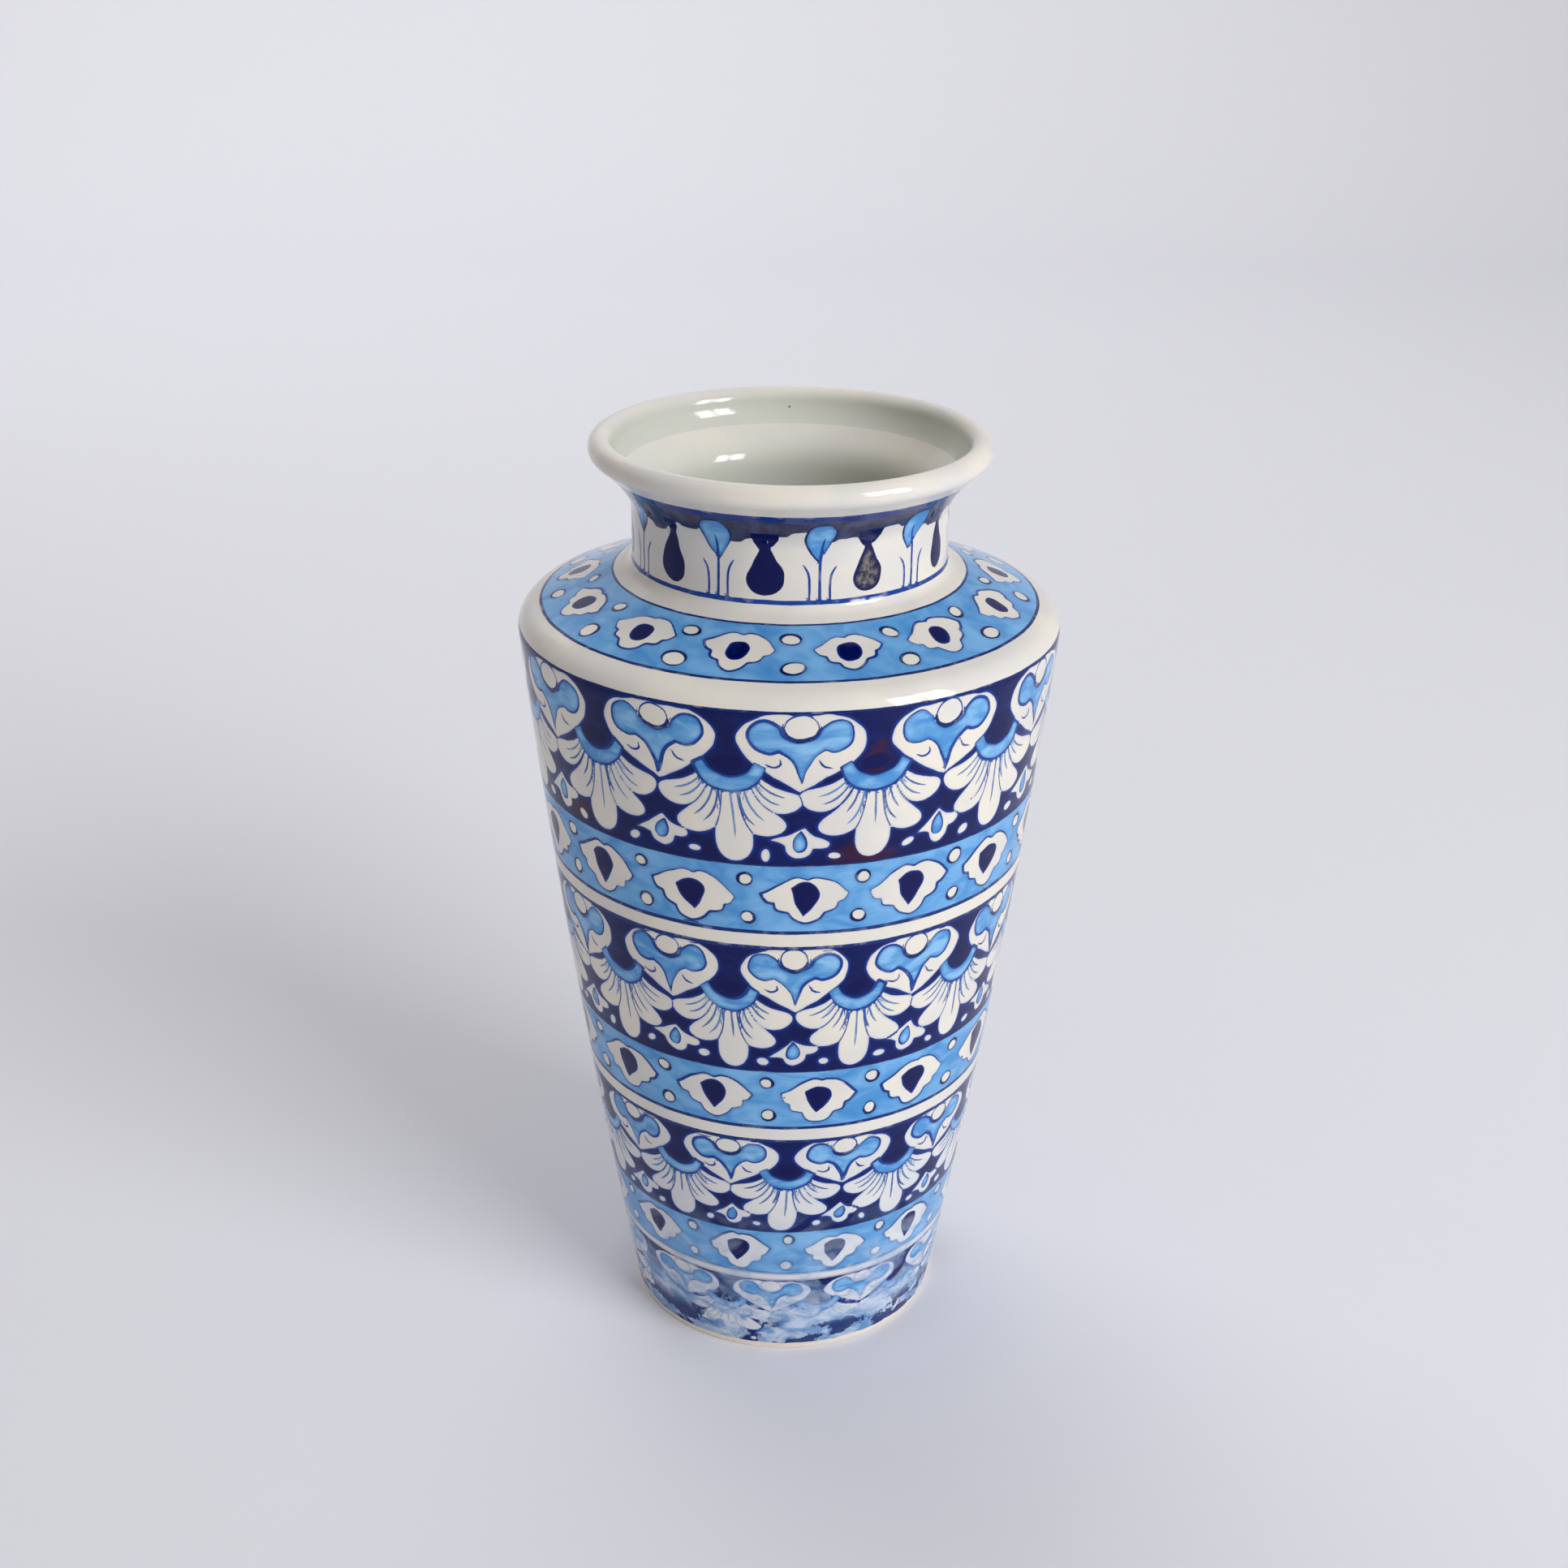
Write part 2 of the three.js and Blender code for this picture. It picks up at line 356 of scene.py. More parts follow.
def line(points, width, angle, s, tone=DARK, ends=(0.35, 0.2)):
    """A brush stroke through the points, that swells in the middle and thins at its ends."""
    path = smooth(points, closed=False)
    t = np.linspace(0, 1, len(path))
    swell = np.sin(math.pi * t) ** 0.6
    half = width / 2 * (ends[0] * (1 - t) + ends[1] * t + swell * (1 - ends[0] * (1 - t) - ends[1] * t))
    for canvas in canvases:
        canvas.line(path, half, tone, angle, s)


def outlined(name, outline, width, angle, s, tone=DARK):
    """A filled shape with a brushed outline."""
    fill(name, outline, angle, s)
    ring = np.concatenate([outline, outline[:2]])
    phase = rng.uniform(0, TURN)
    turn = np.linspace(0, TURN, len(ring))
    half = width / 2 * (1 + 0.45 * np.sin(turn + phase) + 0.2 * np.sin(3 * turn + phase))
    for canvas in canvases:
        canvas.line(ring, half, tone, angle, s)


# ---------------------------------------------------------------- the painter's motifs
def heart_motif(angle, s, sx, sy):
    """A white heart, tip down, with a two-lobed blue wing and a white disc. (0, 0) is its top edge."""
    size = np.array([sx, sy])
    heart = [(0, -0.9), (9.5, -1.0), (15.6, -3.2), (19, -8), (17.6, -13.3), (11.5, -19.2), (0, -26.3),
             (-11.5, -19.2), (-17.6, -13.3), (-19, -8), (-15.6, -3.2), (-9.5, -1.0)]
    fill("white", hand(smooth(heart, (6,)) * size, 0.25, 0.02, 0.02), angle, s)
    wing = [(-0.4, -9.6), (4.4, -7.8), (6.0, -4.8), (9.8, -2.4), (13.8, -4.0), (15.0, -8.2), (13.2, -11.8),
            (9.6, -13.2), (6.6, -12.4), (3.6, -14.8), (1.6, -18.8), (0, -24.2), (-1.6, -18.8), (-3.8, -15.0),
            (-6.8, -12.6), (-9.8, -13.4), (-13.4, -12.0), (-15.4, -8.4), (-14.2, -4.0), (-10.0, -2.2),
            (-6.4, -4.4), (-4.8, -7.6)]
    outlined("light", hand(smooth(wing, (8, 11, 14)) * size, 0.2, 0.03, 0.03), 0.95, angle, s, 0.42)
    disc = hand(oval(-0.3, -5.0, 9.8, 8.8) * size, 0.15)
    fill("disc", disc, angle, s)
    line(disc[[10, 12, 14, 15, 16, 18, 0]], 1.8, angle, s, 0.15, ends=(0.3, 0.3))
    line(disc[[0, 2, 4, 6, 8, 10]], 0.65, angle, s, COBALT, ends=(0.7, 0.7))
    for curl in ([(-10.6, -17.4), (-8.2, -18.4), (-6.2, -17.4), (-6.4, -15.6)],
                 [(5.0, -15.8), (6.4, -18.0), (9.0, -18.8)]):
        line(np.array(curl) * size, 0.9, angle, s, COBALT)


def fan_motif(angle, s, sx, sy):
    """A fan of five rounded white petals hanging from a light-blue crescent under a dark core."""
    size = np.array([sx, sy])
    fill("dark", hand(oval(rng.normal(0, 0.4), -17.6, 9.6, 6.4, steps=14) * size, 0.25), angle, s)
    crescent = [(-10.8, -18.8), (-8.4, -23.6), (-4.6, -26.6), (0, -27.6), (4.6, -26.6), (8.4, -23.6),
                (10.8, -18.8), (7.6, -16.6), (5.6, -20.0), (2.8, -21.8), (0, -22.4), (-2.8, -21.8),
                (-5.6, -20.0), (-7.6, -16.6)]
    petals = []
    for way in (-1, 1):
        petals += [((way * 7.0, -22.4), (way * 21.4, -30.8), 11.6, -way * 2.6),
                   ((way * 3.6, -24.6), (way * 14.8, -42.0), 12.6, -way * 3.2)]
    petals.append(((0, -25.0), (rng.normal(0, 0.7), -51.8), 14.6, 0.3))
    for base, tip, width, bend in petals:
        tip = np.array(tip) + rng.normal(0, 0.5, 2)
        width = width * rng.uniform(0.93, 1.07)
        fill("white", petal(base, tip, width, bend) * size, angle, s, FAINT_PARTING)
    for base, tip, width, bend in petals:
        middle, across, half = petal_sides(base, tip, width, bend)
        shares = (0.06,) if base[0] == 0 else (-0.38, 0.3)
        for share in shares:
            vein = (middle + share * half * across)[1:rng.integers(7, 10)] * size
            line(vein[::2], 0.8, angle, s, rng.uniform(0.65, 0.9), ends=(1.0, 0.1))
    outlined("light", hand(smooth(crescent, (0, 6, 7, 13)) * size, 0.15, 0.02, 0.02), 0.8, angle, s, 0.35)


def lotus_motif(angle, s, size):
    """A small white crown with a light-blue drop, and a white dot each side."""
    crown = [(0.4, 6.6), (3.6, 3.4), (8.8, 1.6), (9.2, -0.2), (7.4, -1.4), (4.4, -1.6), (3.4, -4.4),
             (0, -6.2), (-3.2, -4.8), (-4.6, -1.6), (-6.6, -0.8), (-9.8, -0.4), (-4.4, 3)]
    fill("white", hand(smooth(crown, (0, 5, 9, 11)) * size, 0.2, 0.1, 0.06), angle, s)
    drop = [(0.6, 4.6), (2, 1.2), (1.2, -2.4), (-1.2, -3.2), (-2.8, -1.2), (-2, 2)]
    outlined("light", hand(smooth(drop, (0,)) * size, 0.15, 0.12), 0.6, angle, s, COBALT)
    for way in (-1, 1):
        dot = oval(way * 11.6, -4.6 + rng.normal(0, 0.4), 4.2, 2.9, rng.normal(0, 0.5)) * size
        fill("white", hand(dot, 0.15, 0.1, 0.1), angle, s)


def medallion_motif(angle, s, size, blob):
    """A white medallion with pointed sides and a scalloped lower edge."""
    edge = [(-13.6, 2.2), (-12, -0.9), (-9.8, -1.8), (-9.0, -4.4), (-5.5, -5.6), (-3.6, -8.6), (0, -9.8),
            (3.8, -8.4), (5.9, -5.4), (9.4, -4.2), (10.2, -1.7), (12, -0.9), (13.8, 1.7), (9.6, 6.1),
            (6, 8.3), (2.4, 8.7), (0.7, 8.0), (-2.6, 8.6), (-6.3, 7.1), (-10.2, 4.3)]
    shape = hand(smooth(edge, (0, 2, 4, 8, 10, 12, 16)) * size, 0.22, 0.05, 0.04)
    outlined("white", shape, 0.75, angle, s, 0.3)
    fill("dark", hand(smooth(blob[0], blob[1]) * size * (1.04, 1.14), 0.2, 0.08, 0.06), angle, s)


SPADE = ([(-4.9, 3.4), (-1, 5.3), (3.2, 4.5), (4.6, 1.2), (2.5, -2.4), (-0.3, -5.6), (-3.4, -1.6)], (0, 5))
BLOB = ([(-4, 0.5), (-2.4, 3.6), (2.2, 4), (4.2, 1.4), (3, -3), (-0.6, -4.2), (-3.4, -2.6)], ())


def dot_motif(x, y, width, height, angle, s):
    dot = hand(oval(x, y, width, height, rng.normal(0, 0.3)), 0.12, 0.1, 0.08)
    outlined("white", dot, 0.85, angle, s)


HEART_PITCH = 44.2  # the motifs are drawn for hearts this far apart
HEART_BAND = 53.5  # in a band this high


def hearts_band(low, high, count, first):
    """A navy band of hearts, with fans and small crowns between them."""
    s0, s1 = along(low), along(high)
    radius = np.interp((s0 + s1) / 2, ALONG, OUTER[:, 0])
    sx, sy = TURN * radius / count / HEART_PITCH, (s1 - s0) / HEART_BAND
    for canvas in canvases:
        canvas.band("navy_ground", s0, s1, steady)
    for k in range(count):
        heart = math.radians(first) + TURN * k / count + rng.normal(0, 0.006)
        fan_motif(heart + TURN / count / 2, s1, sx, sy)
        heart_motif(heart, s1, sx, sy)
        lotus_motif(heart, s0 + 8.6 * sy + rng.normal(0, 0.3), min(sx, sy) * 0.93)


def medallion_band(low, high, count, first):
    """A light-blue band of medallions, with two dots between each pair."""
    s0, s1 = along(low), along(high)
    middle, size = (s0 + s1) / 2, (s1 - s0 + 7) / 31.5
    for canvas in canvases:
        canvas.band("blue_ground", s0, s1, steady)
    for k in range(count):
        at = math.radians(first) + TURN * k / count + rng.normal(0, 0.012)
        medallion_motif(at, middle + rng.normal(0, 0.3), size, SPADE)
        between = at + TURN / count / 2
        dot_motif(rng.normal(0, 0.6), 7.4 * size, 4.8 * size, 4.6 * size, between, middle)
        dot_motif(rng.normal(0, 0.6), -6.8 * size, 4.6 * size, 4.6 * size, between, middle)


def shoulder_band(outer_z, inner_z, count, first):
    """The light-blue band on the shoulder's slope."""
    s0, s1 = along(outer_z), along(inner_z)
    middle = (s0 + s1) / 2
    for canvas in canvases:
        canvas.band("blue_ground", s0, s1, steady)
    for k in range(count):
        at = math.radians(first) + TURN * k / count + rng.normal(0, 0.012)
        medallion_motif(at, middle + rng.normal(0, 0.4), 0.94, BLOB)
        between = at + TURN / count / 2
        dot_motif(rng.normal(-0.8, 0.5), 6.8, 6.4, 4.4, between, middle)
        dot_motif(rng.normal(0.4, 0.5), -7.4, 7.8, 6.2, between, middle)


def neck_drop(angle, foot, top, size):
    """A dark teardrop on a thin stem that hangs from the wash under the lip."""
    drop = [(-0.8, 19), (-1.2, 15.6), (-3.6, 10), (-5.2, 5), (-4.2, 1.2), (0, -0.6), (4.4, 1.6), (5.2, 6),
            (3, 11), (1.2, 15.6), (0.8, 19)]
    shape = hand(smooth(drop, (0, 10)) * size, 0.2, 0.03, 0.06)
    fill("dark", shape, angle, foot)
    drip, end, kink = top - foot, 17 * size[1], rng.normal(0, 1.2)
    wide = rng.uniform(3.2, 5.2) * size[0]
    left = [(-wide, drip + 2.5), (-wide * 0.8, drip - 1.5), (kink - 1.3, drip - 4.2),
            (kink - 1.0, end + 1), (-0.9, end - 2)]
    right = [(0.9, end - 2), (kink + 1.0, end + 1), (kink + 1.5, drip - 3.6),
             (wide * 0.9, drip - 0.5), (wide, drip + 2.5)]
    fill("dark", smooth(left + right, (0, 1, 8, 9), steps=4), angle, foot)
    return shape


def neck_bud(angle, foot, line_at):
    """A light-blue bud on a thin stem, with a blade of grass each side."""
    bud = [(-0.4, 26.6), (3.2, 25.8), (5.2, 22), (3.4, 17), (0, 11.8), (-4.0, 16.6), (-5.4, 21.8),
           (-3.8, 25.6)]
    lean = rng.normal(0, 0.05)
    outlined("light", hand(smooth(bud, (4,)), 0.2, 0.1, 0.06), 0.6, angle, foot)
    ground = line_at - foot
    line([(lean * 20, 20), (0.1, 12), (0, ground)], 1.0, angle, foot, COBALT, ends=(0.3, 1.2))
    for way in (-1, 1):
        tall = rng.uniform(8.5, 11.5)
        blade = [(way * 5.6, tall), (way * 4, tall * 0.72), (way * 3.5, tall * 0.3), (way * 3.6, ground)]
        line(blade, 0.9, angle, foot, COBALT, ends=(0.4, 0.9))


def neck_painting():
    """Drops and buds in turn round the neck, under a scalloped wash and a cobalt line."""
    line_at, foot = along(NECK_LINE_Z), along(NECK_LINE_Z + 3.4)
    hem, brim = along(WASH_Z), along(COBALT_Z)
    for canvas in canvases:
        swags = 1.7 * np.tanh(2.5 * np.sin(10 * canvas.angle + 1.1)) + 6 * steady(canvas.angle)
        swags = swags + 0.9 * np.tanh(3 * np.sin(23 * canvas.angle))
        s = canvas.s[:, None]
        inside = np.minimum(s - hem - swags, brim + 1 - s)
        canvas.fields["wash"] = np.maximum(canvas.fields["wash"], inside.clip(FAR))
        canvas.ring(line_at, 0.8, 0.45, steady)
        canvas.ring(brim, 2.1, 0.3, steady)
    for k in range(NECK_DROPS):
        turn = TURN * k / NECK_DROPS
        neck_bud(BUD_TURN + turn + rng.normal(0, 0.02), foot - 0.6, line_at)
        wide = 1.35 if k == 0 else rng.uniform(0.85, 1.05)
        shape = neck_drop(DROP_TURN + turn, foot, hem, np.array([wide, rng.uniform(0.98, 1.1)]))
        if k == 1:
            fill("mottle", shape, DROP_TURN + turn, foot)


def kiln_marks():
    """Spots where the navy burned brown in the kiln."""
    for turn, z, wide, tall in BURNS:
        fill("burn", hand(oval(0, 0, wide, tall), 0.8, 0.2), math.radians(turn), along(z))


# Each painted band's lower and upper edge above the table, its number of motifs, and the turn of its
# first one in degrees.
HEARTS = [(2.5, 36.8, 11, -4.0), (61.9, 106.4, 11, -15.5), (138.6, 192.1, 12, 1.6), (225.5, 283.0, 12, 3.2)]
MEDALLIONS = [(40.3, 61.9, 12, -14.6), (112.8, 138.6, 13, -18.5), (198.5, 225.5, 15, 3.4)]
SHOULDER_BAND = (290.5, 300.9, 13, -13.0)
NECK_DROPS = 10
DROP_TURN = math.radians(-8.3)
BUD_TURN = math.radians(10.3)
NECK_LINE_Z = 306.2
WASH_Z = 328.8
COBALT_Z = 337.4
STRIPES = [(36.8, 40.3), (106.4, 112.8), (192.1, 198.5)]
GLAZE_LINE_Z = 2.5
STRIPE_LINE = 0.75  # half width of a stripe's edge line
# Height and half width of the other lines round the body.
LINES = [(GLAZE_LINE_Z + 0.8, 0.5), (61.9, 0.35), (138.6, 0.35), (225.5, 0.35), (283.0, 0.45),
         (290.5, 0.6), (300.9, 0.45)]
# Each burned spot's turn in degrees, its height above the table, and its own width and height.
BURNS = [(16, 229, 26, 10), (18, 266, 9, 14), (-52, 231, 15, 8), (104, 176, 17, 12),
         (171, 233, 22, 12), (-133, 262, 12, 12)]


def paint_everything():
    for low, high, count, first in HEARTS:
        hearts_band(low, high, count, first)
    for low, high, count, first in MEDALLIONS:
        medallion_band(low, high, count, first)
    shoulder_band(*SHOULDER_BAND)
    neck_painting()
    kiln_marks()
    for low, high in STRIPES:
        for z in (low, high):
            for canvas in canvases:
                canvas.ring(along(z), STRIPE_LINE, 0.2, steady)
    for z, half in LINES:
        for canvas in canvases:
            canvas.ring(along(z), half, 0.15, steady)


# ---------------------------------------------------------------- the sections' meshes
def stray(z, angle):
    """How far a point lies inward of the true turned form, from throwing rings and an uneven round."""
    rings = 0.5 + 0.5 * np.sin(TURN * z / 8.5 + angle + 1.5 * np.sin(z / 31))
    lean = 0.5 + 0.5 * np.sin(2 * angle + z / 60 + 0.7)
    dents = 0.5 + 0.5 * np.sin(3 * angle - z / 37) * np.sin(z / 23 + 5 * angle)
    return UNEVEN * (0.25 * rings + 0.45 * lean + 0.3 * dents)


class Section:
    """One thrown section: its outside as rows of points, and the canvas that is painted on it."""

    def __init__(self, name, low, high):
        self.name = name
        self.outside = stretch(OUTER, low, high, CELL)
        widest = self.outside[:, 0].max()
        self.columns = int(round(TURN * widest / CELL / 4)) * 4
        self.canvas = Canvas(along(self.outside[:, 1]), self.columns)
        canvases.append(self.canvas)


def build(section, before, after, sharp, bare, ends_on_axis=False):
    """Turns the section's outline into a closed mesh that carries the painted fields.

    The outline is the rows before the outside, the outside, and the rows after it, numbered in that order.
    sharp lists the rows with a hard edge, and bare the rows without glaze. ends_on_axis closes the first
    and last rows on the axis.
    """
    before, after = np.array(before).reshape(-1, 2), np.array(after).reshape(-1, 2)
    rows = np.concatenate([before, section.outside, after])
    n, columns, painted, first = len(rows), section.columns, len(section.outside), len(before)
    angle = section.canvas.angle[None, :]
    r, z = rows[:, :1], rows[:, 1:]
    near_top = np.clip((z - BODY_HEIGHT) / (TOP - BODY_HEIGHT), 0, 1) ** 2
    sag = RIM_SAG * near_top * (1 + np.sin(2 * angle + 1.2))
    out = r - stray(z, angle) * np.clip(r / 20, 0, 1)
    points = np.stack([out * np.sin(angle), -out * np.cos(angle), (z - sag) * np.ones_like(angle)], axis=-1)
    points = points.reshape(-1, 3) * MM
    ring = np.arange(columns)
    ahead = (ring + 1) % columns
    links = n - 1 if ends_on_axis else n
    rows_a = np.arange(links)[:, None] * columns
    rows_b = ((np.arange(links) + 1) % n)[:, None] * columns
    quads = np.stack([rows_a + ring, rows_a + ahead, rows_b + ahead, rows_b + ring], axis=-1).reshape(-1, 4)
    corners = quads.reshape(-1)
    starts = np.arange(len(quads)) * 4
    if ends_on_axis:
        low_pole, high_pole = len(points), len(points) + 1
        poles = np.array([[0, 0, rows[0, 1]], [0, 0, rows[-1, 1]]]) * MM
        points = np.concatenate([points, poles])
        low_fan = np.stack([np.full(columns, low_pole), ahead, ring], axis=-1)
        last = (n - 1) * columns
        high_fan = np.stack([np.full(columns, high_pole), last + ring, last + ahead], axis=-1)
        fans = np.concatenate([low_fan, high_fan])
        starts = np.concatenate([starts, len(corners) + np.arange(len(fans)) * 3])
        corners = np.concatenate([corners, fans.reshape(-1)])
    mesh = bpy.data.meshes.new(section.name + "_skin")
    mesh.vertices.add(len(points))
    mesh.vertices.foreach_set("co", points.astype(np.float32).reshape(-1))
    mesh.loops.add(len(corners))
    mesh.loops.foreach_set("vertex_index", corners.astype(np.int32))
    mesh.polygons.add(len(starts))
    mesh.polygons.foreach_set("loop_start", starts.astype(np.int32))
    mesh.polygons.foreach_set("use_smooth", np.ones(len(starts), bool))
    mesh.update(calc_edges=True)
    mark_sharp(mesh, sharp, columns)
    for name, values in section.canvas.fields.items():
        default = {"line": -FAR, "tone": 0.0}.get(name, FAR)
        full = np.full(len(points), default, np.float32)
        start = first * columns
        full[start:start + painted * columns] = values.reshape(-1)
        mesh.attributes.new(name, "FLOAT", "POINT").data.foreach_set("value", full)
    clay = np.full((n, columns), FAR)
    clay[bare] = -FAR
    edge = rows[first:first + painted, 1:] - GLAZE_LINE_Z - 2.5 * steady(section.canvas.angle)
    clay[first:first + painted] = np.maximum(clay[first:first + painted], -edge)
    full = np.full(len(points), FAR, np.float32)
    full[:n * columns] = clay.reshape(-1)
    if ends_on_axis:
        full[n * columns] = -FAR
    mesh.attributes.new("clay", "FLOAT", "POINT").data.foreach_set("value", full)
    # Painted shade: a share that grows from nothing to full over the first eight rows after the outside, and
    # greys the white glaze inside the vase.
    painted_inside_shade = np.clip((np.arange(n) - first - painted) / 8, 0, 1)
    full = np.ones(len(points), np.float32)
    full[:n * columns] = np.repeat(painted_inside_shade, columns)
    mesh.attributes.new("lining", "FLOAT", "POINT").data.foreach_set("value", full)
    piece = bpy.data.objects.new(section.name + "_skin", mesh)
    bpy.context.scene.collection.objects.link(piece)
    return piece


def mark_sharp(mesh, sharp, columns):
    """Keeps the edges between a wall's face and a joint's face sharp."""
    ends = np.zeros(len(mesh.edges) * 2, np.int32)
    mesh.edges.foreach_get("vertices", ends)
    row = ends.reshape(-1, 2) // columns
    flags = (row[:, 0] == row[:, 1]) & np.isin(row[:, 0], sharp)
    mesh.attributes.new("sharp_edge", "BOOLEAN", "EDGE").data.foreach_set("value", flags)


# ---------------------------------------------------------------- materials
def srgb(r, g, b):
    """A colour from its 0 to 255 display values."""
    def linear(v):
        v = v / 255
        return v / 12.92 if v <= 0.04045 else ((v + 0.055) / 1.055) ** 2.4
    return (linear(r), linear(g), linear(b), 1.0)


class Nodes:
    """Short calls for a material's nodes."""

    def __init__(self, name):
        self.material = bpy.data.materials.new(name)
        self.material.use_nodes = True
        self.tree = self.material.node_tree
        self.shader = self.tree.nodes["Principled BSDF"]
        self.place = self.new("ShaderNodeTexCoord").outputs["Object"]

    def new(self, kind, **values):
        node = self.tree.nodes.new(kind)
        for key, value in values.items():
            setattr(node, key, value)
        return node

    def put(self, socket, value):
        if isinstance(value, bpy.types.NodeSocket):
            self.tree.links.new(value, socket)
        else:
            socket.default_value = value

    def math(self, operation, a, b=0.0, c=0.0):
        node = self.new("ShaderNodeMath", operation=operation)
        for socket, value in zip(node.inputs, (a, b, c)):
            self.put(socket, value)
        return node.outputs[0]

    def step(self, value, low, high, a=0.0, b=1.0):
        """A smooth step from a to b as the value goes from low to high."""
        node = self.new("ShaderNodeMapRange", interpolation_type="SMOOTHSTEP")
        keys = ("Value", "From Min", "From Max", "To Min", "To Max")
        for key, v in zip(keys, (value, low, high, a, b)):
            self.put(node.inputs[key], v)
        return node.outputs[0]

    def mix(self, share, a, b):
        node = self.new("ShaderNodeMix", data_type="RGBA")
        self.put(node.inputs[0], share)
        self.put(node.inputs[6], a)
        self.put(node.inputs[7], b)
        return node.outputs[2]

    def noise(self, size, detail=3.0, stretch=(1, 1, 1), rough=0.5, warp=0.0):
        """Noise with features about this many millimetres across."""
        shift = self.new("ShaderNodeMapping")
        self.put(shift.inputs["Vector"], self.place)
        shift.inputs["Scale"].default_value = stretch
        node = self.new("ShaderNodeTexNoise")
        self.put(node.inputs["Vector"], shift.outputs[0])
        node.inputs["Scale"].default_value = 1000 / size
        node.inputs["Detail"].default_value = detail
        node.inputs["Roughness"].default_value = rough
        node.inputs["Distortion"].default_value = warp
        return node.outputs[0]

    def field(self, name):
        return self.new("ShaderNodeAttribute", attribute_name=name).outputs["Fac"]


SOFT = 0.14  # how far a brushed edge blurs, in millimetres


def painted_glaze():
    """White tin glaze, brushed over in light blue, cobalt and navy, with bare clay at the foot."""
    n = Nodes("painted_glaze")
    wobble = n.math("MULTIPLY_ADD", n.noise(2.2, 2), 0.5, -0.25)
    broad = n.noise(34, 3)
    brush = n.noise(14, 3, (1, 1, 2.2), 0.5, 0.8)
    down = n.noise(5, 3, (1, 1, 0.12), 0.55)
    height = height_of(n)

    white = n.mix(n.step(broad, 0.35, 0.65), srgb(232, 226, 213), srgb(221, 217, 211))
    white = n.mix(n.step(height, 0.02, 0.16, 0.65, 0.0), white, srgb(211, 218, 230))
    # Painted shade: inside the vase the white is painted greyer, by the lining share.
    white = n.mix(n.math("MULTIPLY", n.field("lining"), 0.8), white, srgb(203, 205, 194))
    white_d = n.math("ADD", n.field("white"), n.math("MULTIPLY", wobble, 0.6))

    # Light blue lies in thin brushed coats, darker where it pools beside a white shape.
    tide = n.math("ADD", n.math("MULTIPLY", brush, 0.75), n.math("MULTIPLY", broad, 0.35))
    blue = n.mix(n.step(tide, 0.34, 0.74), srgb(72, 142, 205), srgb(124, 181, 228))
    pool = n.step(n.math("ADD", white_d, n.math("MULTIPLY", brush, 1.6)), -1.2, 0.9)
    blue = n.mix(n.math("MULTIPLY", pool, 0.35), blue, srgb(52, 112, 184))
    navy = n.mix(n.step(n.math("ADD", white_d, brush), -0.9, 0.5), srgb(6, 18, 78), srgb(18, 54, 142))
    burn = n.math("ADD", n.field("burn"), n.math("MULTIPLY", brush, 3.0))
    navy = n.mix(n.step(burn, 0.2, 4.2, 0.0, 0.85), navy, srgb(58, 18, 34))
    navy = n.mix(n.step(brush, 0.35, 0.75, 0.0, 0.35), navy, srgb(14, 38, 118))

    colour = n.mix(n.step(n.math("ADD", n.field("blue_ground"), wobble), -SOFT, SOFT), white, blue)
    colour = n.mix(n.step(n.math("ADD", n.field("navy_ground"), wobble), -SOFT, SOFT), colour, navy)
    stained = n.mix(n.step(white_d, 0.0, 1.1, 0.22, 0.0), white, srgb(120, 160, 205))
    colour = n.mix(n.step(white_d, -SOFT, SOFT), colour, stained)

    wash = n.mix(n.step(down, 0.34, 0.6), srgb(44, 56, 98), srgb(8, 18, 70))
    colour = n.mix(n.step(n.math("ADD", n.field("wash"), wobble), -SOFT, SOFT, 0.0, 0.96), colour, wash)
    light_d = n.math("ADD", n.field("light"), n.math("MULTIPLY", wobble, 0.5))
    leaf = n.mix(n.step(brush, 0.34, 0.68), srgb(78, 146, 207), srgb(140, 192, 232))
    leaf = n.mix(n.step(light_d, 0.1, 1.9, 0.75, 0.0), leaf, srgb(58, 120, 190))
    colour = n.mix(n.step(light_d, -SOFT, SOFT), colour, leaf)
    colour = n.mix(n.step(n.field("disc"), -SOFT, SOFT), colour, white)

    dark_d = n.math("ADD", n.field("dark"), n.math("MULTIPLY", wobble, 0.5))
    dark = n.mix(n.step(n.math("ADD", dark_d, brush), 0.3, 1.7), navy, srgb(2, 10, 76))
    colour = n.mix(n.step(dark_d, -SOFT, SOFT), colour, dark)
    grey = n.mix(n.step(n.noise(2.6, 4, (1, 1, 1), 0.62), 0.4, 0.64), srgb(48, 44, 58), srgb(146, 136, 124))
    colour = n.mix(n.step(n.field("mottle"), 0.4, 2.6, 0.0, 0.75), colour, grey)

    tone = n.field("tone")
    ink = n.mix(n.step(tone, 0.0, 0.5), srgb(14, 28, 84), srgb(24, 66, 148))
    ink = n.mix(n.step(tone, 0.5, 1.0), ink, srgb(104, 146, 190))
    gap = n.math("SUBTRACT", n.field("line_half"), n.math("ABSOLUTE", n.field("line")))
    gap = n.math("ADD", gap, n.math("MULTIPLY", wobble, 0.45))
    strength = n.step(gap, -SOFT, SOFT, 0.0, n.step(n.noise(6, 3), 0.25, 0.5, 0.72, 1.0))
    colour = n.mix(n.math("MULTIPLY", strength, n.step(height, 0.034, 0.066, 0.35, 1.0)), colour, ink)

